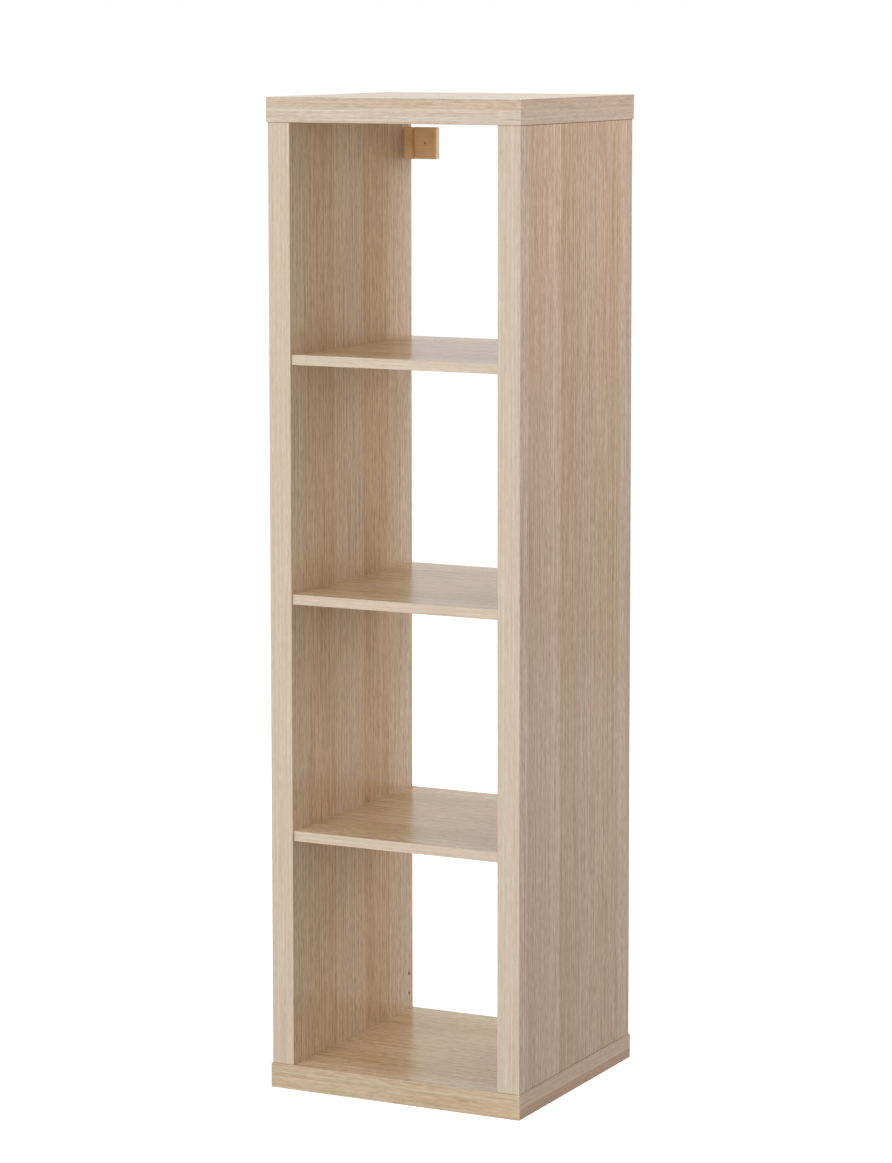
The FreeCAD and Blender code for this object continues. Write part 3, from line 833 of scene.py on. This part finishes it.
@dataclass
class CornerScrews(SubAssembly):
    """Four socket screws through a slab into the ends of the side panels.

    Attributes:
        name: The CAD node that the screws stand for.
        points_up: Whether the tips point up, as in the bottom slab.
        length: Length over the head.
        head: Diameter of the head.
        head_height: Height of the head.
        rim: How far the head's edge is eased.
        shank: Diameter over the thread.
        core: Diameter of the shank under the thread.
        pitch: Rise of the thread in one turn.
        tip: Length of the tapered tip.
        flats: The socket across its flats.
        socket: Depth of the socket.
    """

    name: str
    points_up: bool
    length: float = 70 * MM
    head: float = 11 * MM
    head_height: float = 3 * MM
    rim: float = 0.5 * MM
    shank: float = 6.4 * MM
    core: float = 4.6 * MM
    pitch: float = 3 * MM
    tip: float = 4 * MM
    flats: float = 4 * MM
    socket: float = 2.8 * MM

    SEGMENTS = 24
    RINGS_PER_TURN = 6
    RIDGE_SLOPE = 3.2
    TIP_WIDTH = 0.25
    RIM_STEP = 0.15 * MM
    SOCKET_EASE_WIDTH, SOCKET_EASE_DEPTH = 0.25 * MM, 0.2 * MM
    SHARP_DEGREES = 35.0
    CORNERS = (2, 2, 1)

    def radius(self, height: float, turn: float) -> float:
        """Work out the thread's radius.

        Args:
            height: Height above the tip.
            turn: The share of a turn about the axis.

        Returns:
            The radius there.
        """
        phase = (height / self.pitch - turn) % 1
        ridge = max(0.0, 1 - abs(phase - 0.5) * self.RIDGE_SLOPE)
        taper = min(1.0, self.TIP_WIDTH + (1 - self.TIP_WIDTH) * height / self.tip)
        return (self.core + (self.shank - self.core) * ridge) / 2 * taper

    def shape(self) -> bmesh.types.BMesh:
        """Build one screw, with its tip down at the origin.

        Returns:
            The mesh.
        """
        turns = [index / self.SEGMENTS for index in range(self.SEGMENTS)]
        neck = self.length - self.head_height
        steps = round(neck / (self.pitch / self.RINGS_PER_TURN))
        heights = [neck * step / steps for step in range(steps + 1)]
        rings = [circle([self.radius(height, turn) for turn in turns], height)
                 for height in heights]
        edge = self.head / 2
        for radius, height in ((edge, neck), (edge, self.length - self.rim),
                               (edge - self.RIM_STEP, self.length - self.RIM_STEP),
                               (edge - self.rim, self.length)):
            rings.append(circle([radius] * self.SEGMENTS, height))
        side = math.pi / 3
        socket = [self.flats / 2 / math.cos((turn * 2 * math.pi + side / 2) % side - side / 2)
                  for turn in turns]
        rings.append(circle([radius + self.SOCKET_EASE_WIDTH for radius in socket], self.length))
        rings.append(circle(socket, self.length - self.SOCKET_EASE_DEPTH))
        rings.append(circle(socket, self.length - self.socket))
        return tube_of_rings(rings)

    def build(self) -> list[bpy.types.Object]:
        """Build one screw and repeat it at the four corners.

        Returns:
            The object that holds all four screws.
        """
        screw = new_piece(f"{self.name}_threaded", self.shape(), smooth=True)
        if self.points_up:
            screw.data.transform(Matrix.Rotation(math.pi, 4, "X"))
        sharpen(screw, self.SHARP_DEGREES)
        low, high = (Vector(corner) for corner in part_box(self.name))
        margin = self.head / 2
        start = (low.x + margin, low.y + margin, high.z if self.points_up else low.z)
        spacing = (high.x - low.x - self.head, high.y - low.y - self.head, 0.0)
        Repeat(start, self.CORNERS, spacing).apply(screw, ZINC)
        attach(screw, BODY)
        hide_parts(self.name)
        return [screw]


@dataclass
class Dowels(SubAssembly):
    """Fluted dowels or pins with eased ends, in the places of a CAD node.

    Attributes:
        name: The CAD node that they stand for.
        along: The axis that they lie along, X or Z.
        counts: How many stand along X, Y and Z.
        diameter: Diameter over the ridges.
        length: Length over the ends.
        ease: How far the ends are eased.
        flutes: How many glue flutes run along each.
        slot: A material slot's name. It is not used.
    """

    name: str
    along: str
    counts: tuple[int, int, int]
    diameter: float = 8 * MM
    length: float = 35 * MM
    ease: float = 1.0 * MM
    flutes: int = 20
    slot: str = "dowel_beech"

    POINTS_PER_FLUTE = 4
    FLUTE_DEPTH = 0.3 * MM
    LEAST_WIDTH = 0.2
    SHARP_DEGREES = 40.0
    TURN_SEED = 4

    def ring(self, height: float, inset: float) -> list[Vector]:
        """Lay out the fluted outline.

        Args:
            height: The height that it lies at.
            inset: How far it is drawn in.

        Returns:
            Its points.
        """
        radii = []
        count = self.flutes * self.POINTS_PER_FLUTE
        for index in range(count):
            angle = 2 * math.pi * index / count
            dip = (0.5 - 0.5 * math.cos(angle * self.flutes)) ** 2 * self.FLUTE_DEPTH
            radii.append(max(self.diameter / 2 - dip - inset, self.LEAST_WIDTH * self.diameter))
        return circle(radii, height)

    def shape(self) -> bmesh.types.BMesh:
        """Build one upright dowel, with its foot at the origin.

        Returns:
            The mesh.
        """
        return tube_of_rings([self.ring(0.0, self.ease), self.ring(self.ease, 0.0),
                              self.ring(self.length - self.ease, 0.0),
                              self.ring(self.length, self.ease)])

    def build(self) -> list[bpy.types.Object]:
        """Build one dowel and repeat it in all its places.

        Returns:
            The object that holds them all.
        """
        dowel = new_piece(f"{self.name}_fluted", self.shape(), smooth=True)
        sharpen(dowel, self.SHARP_DEGREES)
        lies_across = self.along == "X"
        if lies_across:
            dowel.data.transform(Matrix.Rotation(math.pi / 2, 4, "Y"))
        low, high = (Vector(corner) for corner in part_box(self.name))
        run = "XYZ".index(self.along)
        size = Vector([self.diameter] * 3)
        size[run] = self.length
        spacing = [(high[axis] - low[axis] - size[axis]) / max(self.counts[axis] - 1, 1)
                   for axis in range(3)]
        first = [low[axis] + size[axis] / 2 for axis in range(3)]
        first[run] = low[run]
        axis = (1.0, 0.0, 0.0) if lies_across else (0.0, 0.0, 1.0)
        beech = BEECH_ACROSS if lies_across else BEECH_UPRIGHT
        Repeat(tuple(first), self.counts, tuple(spacing), axis,
               seed=self.TURN_SEED).apply(dowel, beech)
        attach(dowel, BODY)
        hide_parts(self.name)
        return [dowel]


@dataclass
class HollowSlab(SubAssembly):
    """The top or the bottom slab: two skins, four rails, a paper core and four edge bands.

    Attributes:
        name: The slab's name in the CAD model.
        base: The height of its lower face.
        staves: The staves of its front and rear bands.
        side_staves: The staves of its left and right bands.
        shine: How strongly its skins mirror.
        seed: A number that gives its foil a figure of its own.
    """

    name: str
    base: float
    staves: tuple[Stave, ...]
    side_staves: tuple[Stave, ...]
    shine: float
    seed: float

    def build(self) -> list[bpy.types.Object]:
        """Dress the slab's pieces.

        Returns:
            The dressed pieces.
        """
        span = (self.base, self.base + SLAB)
        front = Foil(f"{self.name}_front_foil", Grain.SIDEWAYS_ON_EDGE, *EDGE_TONES, span,
                     self.staves, lines=0.34, arches=0.35, rings=20.0, seed=self.seed)
        sides = Foil(f"{self.name}_side_foil", Grain.DEPTHWAYS_ON_EDGE, *OUTER_TONES, span,
                     self.side_staves, lines=0.2, arches=0.3, seed=self.seed + 1)
        faces = Foil(f"{self.name}_face_foil", Grain.SIDEWAYS_ON_BOARD, *BOARD_TONES,
                     (-DEPTH / 2, DEPTH / 2), SHELF_STAVES, span, lines=0.52, arches=0.15,
                     gloss=0.25, shine=self.shine, seed=self.seed + 2)
        return dressed(self.name, (front, "front_band rear_band"), (sides, "left_band right_band"),
                       (faces, "upper_skin lower_skin"),
                       (CHIPBOARD, "left_rail right_rail front_rail rear_rail"), (PAPER, "core"))


@dataclass
class SidePanel(SubAssembly):
    """A side panel: two skins, two uprights, two end blocks, a paper core and two edge bands.

    Attributes:
        side: Left or right.
        seed: A number that gives its foil a figure of its own.
    """

    side: Side
    seed: float

    def build(self) -> list[bpy.types.Object]:
        """Dress the panel's pieces.

        Returns:
            The dressed pieces.
        """
        name = f"{self.side.value}_panel"
        skins = []
        for place, tones, staves in (("outer", OUTER_TONES, OUTER_STAVES),
                                     ("inner", INNER_TONES, INNER_STAVES)):
            low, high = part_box(f"{name}_{place}_skin")
            # The outer skins carry a line of painted shade at their ends, where they meet the
            # slabs.
            foil = Foil(f"{name}_{place}_foil", Grain.UPRIGHT_ON_PANEL, *tones, (low[1], high[1]),
                        staves, (low[0], high[0]), lines=0.42, arches=0.4,
                        seed=self.seed + len(staves),
                        ends=(low[2], high[2]) if place == "outer" else ())
            skins.append((foil, f"{place}_skin"))
        return dressed(name, *skins, (PANEL_BANDS, "front_band rear_band"),
                       (CHIPBOARD, "front_stile rear_stile lower_block upper_block"),
                       (PAPER, "core"))


@dataclass
class FixedShelf(SubAssembly):
    """A fixed shelf: a solid board with a band on its front and rear edges.

    Attributes:
        name: The shelf's name in the CAD model.
        seed: A number that gives its foil a figure of its own.
    """

    name: str
    seed: float

    def build(self) -> list[bpy.types.Object]:
        """Dress the shelf's pieces.

        Returns:
            The dressed pieces.
        """
        low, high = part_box(f"{self.name}_board")
        span = (low[2], high[2])
        faces = Foil(f"{self.name}_foil", Grain.SIDEWAYS_ON_BOARD, *BOARD_TONES,
                     (-DEPTH / 2, DEPTH / 2), SHELF_STAVES, span, lines=0.52, arches=0.15,
                     gloss=0.25, shine=0.23, seed=self.seed)
        edges = Foil(f"{self.name}_edge_foil", Grain.SIDEWAYS_ON_EDGE, *EDGE_TONES, span,
                     (Stave(0.0, 0.2, LIGHT),), lines=0.2, arches=0.15, seed=self.seed + 3)
        return dressed(self.name, (faces, "board"), (edges, "front_band rear_band"))


@dataclass
class WallBracket(SubAssembly):
    """An L-shaped wall bracket on a side panel.

    Attributes:
        side: Left or right.
    """

    side: Side

    def build(self) -> list[bpy.types.Object]:
        """Dress the bracket."""
        return dressed(self.side.value, (BRACKET_WOOD, "wall_bracket"))


@dataclass
class PhotoCamera:
    """The camera at the photograph's viewing angle, with a picture of 892 by 1163 pixels.

    Attributes:
        place: Where it stands, in metres.
        turn: How far it has gone round to the right of the front, in degrees.
        tilt: How far it looks down, in degrees.
        lens: Its focal length in millimetres.
        sensor: The height of the picture that the lens draws, in millimetres.
        shift: How far the picture is shifted, as shares of its height.
        reach: How far it sees, in metres.
    """

    place: Place = (2.604688, -5.179289, 1.591318)
    turn: float = 26.3704
    tilt: float = 6.0724
    lens: float = 121.52
    sensor: float = 36.0
    shift: tuple[float, float] = (-0.0251, -0.13)
    reach: float = 100.0

    def build(self) -> None:
        """Place the camera and make it the scene's own."""
        data = bpy.data.cameras.new("photo_camera")
        data.sensor_fit = "AUTO"
        data.sensor_width = self.sensor
        data.lens = self.lens
        data.shift_x, data.shift_y = self.shift
        data.clip_end = self.reach
        camera = bpy.data.objects.new("photo_camera", data)
        around, down = math.radians(self.turn), math.radians(self.tilt)
        back = Vector((math.sin(around) * math.cos(down), -math.cos(around) * math.cos(down),
                       math.sin(down)))
        right = Vector((math.cos(around), math.sin(around), 0.0))
        turned = Matrix((right, back.cross(right), back)).transposed().to_4x4()
        camera.matrix_world = Matrix.Translation(self.place) @ turned
        bpy.context.scene.collection.objects.link(camera)
        bpy.context.scene.camera = camera


def seen_directly(nodes: Wiring) -> Socket:
    """Tell what the camera, gloss and glass see from light that only brightens.

    Args:
        nodes: The wiring of the floor or the surroundings.

    Returns:
        A number that is 1 for what is seen, and 0 for other light.
    """
    path = nodes.add("ShaderNodeLightPath")
    seen = nodes.math("MAXIMUM", path.outputs["Is Camera Ray"], path.outputs["Is Glossy Ray"])
    return nodes.math("MAXIMUM", seen, path.outputs["Is Transmission Ray"])


@dataclass(frozen=True)
class PaleFloor(Finish):
    """A pale matt floor. The camera and gloss see it lifted to white, with the unit's shadow.

    Attributes:
        matt: How much light it sends back to the unit.
        seen: How much of its own light and shade is seen.
        lift: How much plain white is added to that.
    """

    matt: float = 0.6
    seen: float = 0.7
    lift: float = 0.74

    def wire(self, nodes: Wiring) -> None:
        """Mix a matt floor for the light with a lifted one for the eye.

        Args:
            nodes: The material's wiring, still empty.
        """
        plain, shown = (nodes.add("ShaderNodeBsdfDiffuse", {"Color": (grey, grey, grey, 1.0)})
                        for grey in (self.matt, self.seen))
        glow = nodes.add("ShaderNodeEmission", {"Strength": self.lift})
        lifted = nodes.add("ShaderNodeAddShader", {0: shown.outputs[0], 1: glow.outputs[0]})
        mixed = nodes.add("ShaderNodeMixShader", {
            0: seen_directly(nodes), 1: plain.outputs[0], 2: lifted.outputs[0]})
        nodes.add("ShaderNodeOutputMaterial", {"Surface": mixed.outputs[0]})


@dataclass
class SoftLamp:
    """A large soft lamp that gloss doesn't show.

    Attributes:
        name: The lamp's name.
        place: Where it hangs.
        aim: What it points at.
        size: Its width and height.
        power: Its power in watts.
    """

    name: str
    place: Place
    aim: Place
    size: tuple[float, float]
    power: float

    def build(self) -> None:
        """Hang the lamp."""
        data = bpy.data.lights.new(self.name, "AREA")
        data.shape = "RECTANGLE"
        data.size, data.size_y = self.size
        data.energy = self.power
        lamp = bpy.data.objects.new(self.name, data)
        lamp.location = self.place
        lamp.rotation_euler = (Vector(self.aim) - lamp.location).to_track_quat("-Z", "Y").to_euler()
        lamp.visible_glossy = False
        lamp.visible_camera = False
        bpy.context.scene.collection.objects.link(lamp)


@dataclass
class Studio:
    """The plain floor, the white surroundings and the soft lamps.

    Attributes:
        sky: Strength of the light from all round.
        floor_size: Width of the floor.
        floor_gap: How far the floor lies under the unit, so that their faces don't coincide.
        lamps: The soft lamps.
    """

    sky: float = 0.45
    floor_size: float = 60.0
    floor_gap: float = 0.2 * MM
    lamps: tuple[SoftLamp, ...] = (
        SoftLamp("front_lamp", (-0.5, -4.6, 1.8), (0.0, 0.0, 0.9), (4.0, 3.2), 160.0),
        SoftLamp("rear_lamp", (0.9, 3.2, 1.6), (0.0, 0.0, 0.9), (3.2, 2.6), 80.0),
        SoftLamp("right_lamp", (1.6, 0.2, 2.4), (0.2, 0.0, 1.3), (1.0, 1.0), 20.0),
    )

    FLOOR_CELLS = 8

    def floor(self) -> None:
        """Lay the floor just under the unit."""
        shape = bmesh.new()
        under = Matrix.Translation((0.0, 0.0, -self.floor_gap))
        bmesh.ops.create_grid(shape, x_segments=self.FLOOR_CELLS, y_segments=self.FLOOR_CELLS,
                              size=self.floor_size / 2, matrix=under)
        plane = new_piece("floor", shape, smooth=False)
        PaleFloor("pale_floor").dress(plane)

    def surroundings(self) -> None:
        """Light the scene evenly from all round, with white behind it for the camera and gloss."""
        world = bpy.data.worlds.new("white_surroundings")
        world.use_nodes = True
        bpy.context.scene.world = world
        nodes = Wiring(world.node_tree)
        strength = nodes.math("MULTIPLY_ADD", seen_directly(nodes), 1.0 - self.sky, self.sky)
        glow = nodes.add("ShaderNodeBackground", {
            "Color": (1.0, 1.0, 1.0, 1.0), "Strength": strength})
        nodes.add("ShaderNodeOutputWorld", {"Surface": glow.outputs[0]})

    def build(self) -> None:
        """Set the whole stage."""
        bpy.context.scene.view_settings.view_transform = "Standard"
        self.floor()
        self.surroundings()
        for lamp in self.lamps:
            lamp.build()


# Each pair of tones is the foil between its grain lines and on them, as it looks on a screen.
EDGE_TONES = (from_screen(212, 197, 179), from_screen(179, 160, 136))
BOARD_TONES = (from_screen(216, 193, 159), from_screen(170, 141, 107))
OUTER_TONES = (from_screen(192, 169, 148), from_screen(154, 127, 105))
INNER_TONES = (from_screen(222, 198, 170), from_screen(179, 151, 122))

BROWN, HONEY, PINK = (0.91, 0.88, 0.79), (0.985, 0.965, 0.92), (0.995, 0.975, 0.985)
LIGHT, FRONT_PALE = (1.04, 1.05, 1.08), (1.08, 1.09, 1.17)

OUTER_STAVES = (
    Stave(0.0, 0.05, (1.02, 1.05, 1.10)),
    Stave(0.075, 0.2, (0.95, 0.92, 0.92), (1.06, 1.04, 1.08)),
    Stave(0.285, 0.1, (1.08, 1.08, 1.13)),
    Stave(0.353, 0.15, (0.90, 0.87, 0.80), (0.95, 0.92, 0.89)),
    Stave(0.52, 0.3, (0.96, 0.95, 0.97), (1.00, 0.99, 0.97)),
    Stave(0.73, 0.9, (1.00, 0.97, 0.94), (0.99, 0.97, 0.90)),
    Stave(0.895, 0.12, (1.05, 1.08, 1.11), (0.96, 0.96, 1.03)),
)
INNER_STAVES = (
    Stave(0.0, 0.1, (0.93, 0.94, 0.94), (0.98, 1.00, 1.05)),
    Stave(0.1, 0.25, (0.95, 0.96, 0.93), (0.95, 0.92, 0.86)),
    Stave(0.35, 0.08, (1.01, 1.05, 1.08), (1.02, 1.05, 1.08)),
    # From 0.59 the tints grow paler and bluer towards the rear edge: painted light, for the white
    # light through the open back. The stave joints at 0.59 and 0.8 are print.
    Stave(0.59, 0.2, (0.94, 0.90, 0.80), (1.00, 1.00, 0.97)),
    Stave(0.8, 0.1, (1.05, 1.07, 1.09), (1.01, 1.07, 1.20)),
)
SHELF_STAVES = (
    Stave(0.0, 0.2, FRONT_PALE),
    Stave(0.09, 0.2, HONEY),
    Stave(0.17, 0.7, BROWN, HONEY),
    Stave(0.33, 0.3, PINK, HONEY),
    Stave(0.55, 0.6, PINK, HONEY),
    Stave(0.73, 0.15, BROWN, HONEY),
    Stave(0.88, 0.8, LIGHT, HONEY),
)
TOP_STAVES = (
    Stave(0.0, 0.15, (0.99, 0.99, 1.03), (1.03, 1.04, 1.10)),
    Stave(0.6, 0.8, (0.97, 0.92, 0.91), (0.97, 0.93, 0.96)),
)
BOTTOM_STAVES = (Stave(0.0, 0.6, (0.96, 0.91, 0.81), (0.98, 0.92, 0.85)),)
TOP_SIDE_STAVES = (
    Stave(0.0, 0.3, (1.00, 1.03, 1.10)),
    Stave(0.55, 0.8, (1.00, 1.03, 1.08), (0.95, 0.95, 1.02)),
)
BOTTOM_SIDE_STAVES = (
    Stave(0.0, 0.2, (0.90, 0.81, 0.76)),
    Stave(0.4, 0.3, (1.09, 1.09, 1.08), (1.00, 0.98, 1.02)),
)
BAND_STAVES = (
    Stave(0.0, 0.2, (1.01, 1.00, 1.02)),
    Stave(0.5, 0.3, (1.00, 1.01, 1.05)),
)

CHIPBOARD = RawChipboard("raw_chipboard")
PAPER = CorePaper("core_paper")
BEECH_UPRIGHT = TurnedBeech("beech_upright", Grain.UPRIGHT_ON_PANEL)
BEECH_ACROSS = TurnedBeech("beech_across", Grain.SIDEWAYS_ON_BOARD)
BRACKET_WOOD = BracketWood("bracket_wood_lacquered")
ZINC = ZincPlate("zinc_plate")
# The panel bands carry a line of painted shade at their joints with the slabs.
PANEL_BANDS = Foil("panel_band_foil", Grain.UPRIGHT_ON_EDGE, *EDGE_TONES, (-WIDTH / 2, WIDTH / 2),
                   BAND_STAVES, lines=0.2, arches=0.1, ends=(SLAB, HEIGHT - SLAB))


def main() -> None:
    """Build the unit's sub-assemblies in order, then the stage and the camera."""
    logging.basicConfig(level=logging.INFO, format="%(name)s: %(message)s")
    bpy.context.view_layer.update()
    parts: list[SubAssembly] = [
        HollowSlab("bottom_slab", 0.0, BOTTOM_STAVES, BOTTOM_SIDE_STAVES, shine=0.23, seed=8.0),
        HollowSlab("top_slab", HEIGHT - SLAB, TOP_STAVES, TOP_SIDE_STAVES, shine=0.45, seed=2.0),
        SidePanel(Side.LEFT, seed=3.0),
        SidePanel(Side.RIGHT, seed=0.0),
        FixedShelf("lower_shelf", seed=1.3),
        FixedShelf("middle_shelf", seed=4.1),
        FixedShelf("upper_shelf", seed=6.7),
        WallBracket(Side.LEFT),
        WallBracket(Side.RIGHT),
        CornerScrews("bottom_screws", points_up=True),
        CornerScrews("top_screws", points_up=False),
        Dowels("bottom_dowels", "Z", (2, 2, 1)),
        Dowels("top_dowels", "Z", (2, 2, 1)),
        Dowels("shelf_dowels", "X", (2, 2, 3)),
        Dowels("bracket_pins", "X", (2, 1, 2), 5 * MM, 20 * MM, 0.5 * MM, 12, "pin_beech"),
    ]
    for part in parts:
        names = ", ".join(piece.name for piece in part.build())
        LOG.info("%s: %s", type(part).__name__, names)
    Studio().build()
    PhotoCamera().build()


if __name__ == "__main__":
    main()
